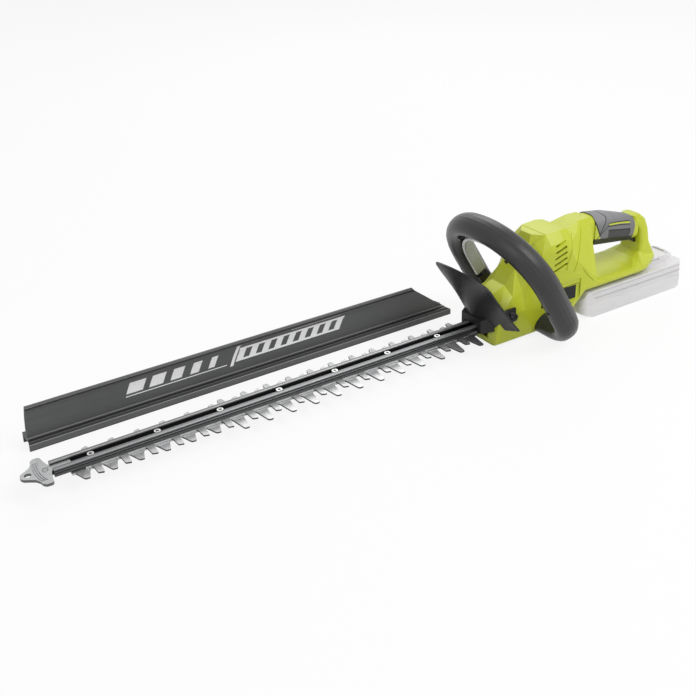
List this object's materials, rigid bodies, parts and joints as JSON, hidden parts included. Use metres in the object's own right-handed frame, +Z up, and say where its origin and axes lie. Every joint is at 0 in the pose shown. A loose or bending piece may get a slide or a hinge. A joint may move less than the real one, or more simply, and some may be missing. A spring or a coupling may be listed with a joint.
{
  "type": "cordless hedge trimmer",
  "caption": "Cordless hedge trimmer with double-sided reciprocating blades, loop front handle, rear D-handle, sliding battery and a detached clip-on debris sweep.",
  "frame": {"origin": "middle of the flat face under the gear housing, on which the tool stands", "axes": "+X along the cutting bar towards its tip, +Y to the tool's left, +Z up"},
  "size_m": [0.9975, 0.2231, 0.18],
  "materials": {
    "green_plastic": "lime green moulded plastic, fine satin texture",
    "dark_plastic": "black moulded plastic",
    "dark_screws": "blackened steel",
    "soft_grip": "soft dark grey overmould with grooves",
    "black_plate": "bare black plate",
    "cast_metal": "die-cast, unpainted",
    "gear_steel": "ground steel",
    "motor_steel": "plated steel",
    "circuit_board": "green board with dark parts",
    "bar_coating": "dark coated extrusion with rubbed edges",
    "bright_screws": "bright zinc",
    "blade_steel": "ground blade steel",
    "tip_metal": "pressed bright steel",
    "guard_plastic": "near-black moulded plastic",
    "loop_plastic": "charcoal moulded plastic with a soft sheen",
    "lever_plastic": "light grey moulded plastic",
    "pack_plastic": "pale frosted plastic",
    "cell_wrap": "shrink-wrapped cells",
    "contact_brass": "plated contacts",
    "sweep_plastic": "charcoal extruded plastic"
  },
  "bodies": {
    "trimmer": {"housing_left": "green_plastic", "housing_right": "green_plastic", "housing_screws": "dark_screws", "grip_left": "soft_grip", "grip_right": "soft_grip", "side_plate": "black_plate", "base_cover": "green_plastic", "base_screws": "dark_screws", "gearcase_lower": "cast_metal", "gearcase_lid": "cast_metal", "crank_bearing_upper": "gear_steel", "crank_bearing_lower": "gear_steel", "motor_can": "motor_steel", "motor_cap": "dark_plastic", "motor_bearings": "gear_steel", "control_board": "circuit_board", "terminal_block": "dark_plastic", "blade_bar": "bar_coating", "bar_screws": "bright_screws", "bar_bushes": "gear_steel", "bar_nuts": "bright_screws", "tip_guard": "tip_metal", "tip_screw": "bright_screws", "hand_guard": "guard_plastic", "guard_screws": "dark_screws", "loop_front": "loop_plastic", "loop_rear": "loop_plastic", "loop_screws": "dark_screws", "lever_springs": "dark_plastic", "front_switch": "dark_plastic", "trigger_pin": "gear_steel", "trigger_spring": "gear_steel", "rear_switch": "dark_plastic"},
    "rotor": {"motor_rotor": "motor_steel", "motor_pinion": "gear_steel", "cooling_fan": "dark_plastic"},
    "crank": {"drive_gear": "gear_steel", "eccentric_shaft": "gear_steel"},
    "upper_blade": {"blade_upper": "blade_steel"},
    "lower_blade": {"blade_lower": "blade_steel"},
    "lever": {"front_lever": "lever_plastic"},
    "rear_trigger": {"trigger": "dark_plastic"},
    "battery": {"battery_lower": "pack_plastic", "battery_upper": "pack_plastic", "battery_cells": "cell_wrap", "battery_contacts": "contact_brass", "latch_spring": "gear_steel"},
    "latch": {"battery_latch": "pack_plastic"},
    "sweep": {"sweep_panel": "sweep_plastic"}
  },
  "joints": [
    {"name": "motor_spin", "type": "hinge", "parent": "trimmer", "child": "rotor", "pos_m": [-0.048, 0, 0.08], "axis": [0, 0, 1], "range_deg": [-0.2, 840.2]},
    {"name": "crank_turn", "type": "hinge", "parent": "trimmer", "child": "crank", "pos_m": [-0.014, 0, 0.03], "axis": [0, 0, 1], "range_deg": [-180.1, 0.1]},
    {"name": "upper_blade_stroke", "type": "slide", "parent": "trimmer", "child": "upper_blade", "axis": [1, 0, 0], "range_m": [-0.016, 0]},
    {"name": "lower_blade_stroke", "type": "slide", "parent": "trimmer", "child": "lower_blade", "axis": [1, 0, 0], "range_m": [-0.00001, 0.01601]},
    {"name": "front_lever_press", "type": "slide", "parent": "trimmer", "child": "lever", "axis": [0.509, 0, 0.8607], "range_m": [0, 0.004], "stiffness_N_per_m": 1500, "springref_m": -0.003},
    {"name": "trigger_press", "type": "hinge", "parent": "trimmer", "child": "rear_trigger", "pos_m": [-0.141, 0, 0.103], "axis": [0, 1, 0], "range_deg": [0, 5], "stiffness_Nm_per_rad": 2.5, "springref_deg": -6.88, "deforming": ["trigger_spring"]},
    {"name": "battery_slide", "type": "slide", "parent": "trimmer", "child": "battery", "axis": [-1, 0, 0], "range_m": [0, 0.21]},
    {"name": "latch_press", "type": "slide", "parent": "battery", "child": "latch", "axis": [0, 0, -1], "range_m": [0, 0.003], "stiffness_N_per_m": 1200, "springref_m": -0.002, "deforming": ["latch_spring"]},
    {"name": "sweep_lift", "type": "slide", "parent": "trimmer", "child": "sweep", "axis": [0, 0, 1], "range_m": [0, 0.08]}
  ],
  "couplings": [
    {"joint": "crank_turn", "follows": "upper_blade_stroke", "rad_per_m": 196.35},
    {"joint": "motor_spin", "follows": "upper_blade_stroke", "rad_per_m": -916.3},
    {"joint": "lower_blade_stroke", "follows": "upper_blade_stroke", "ratio": -1}
  ]
}
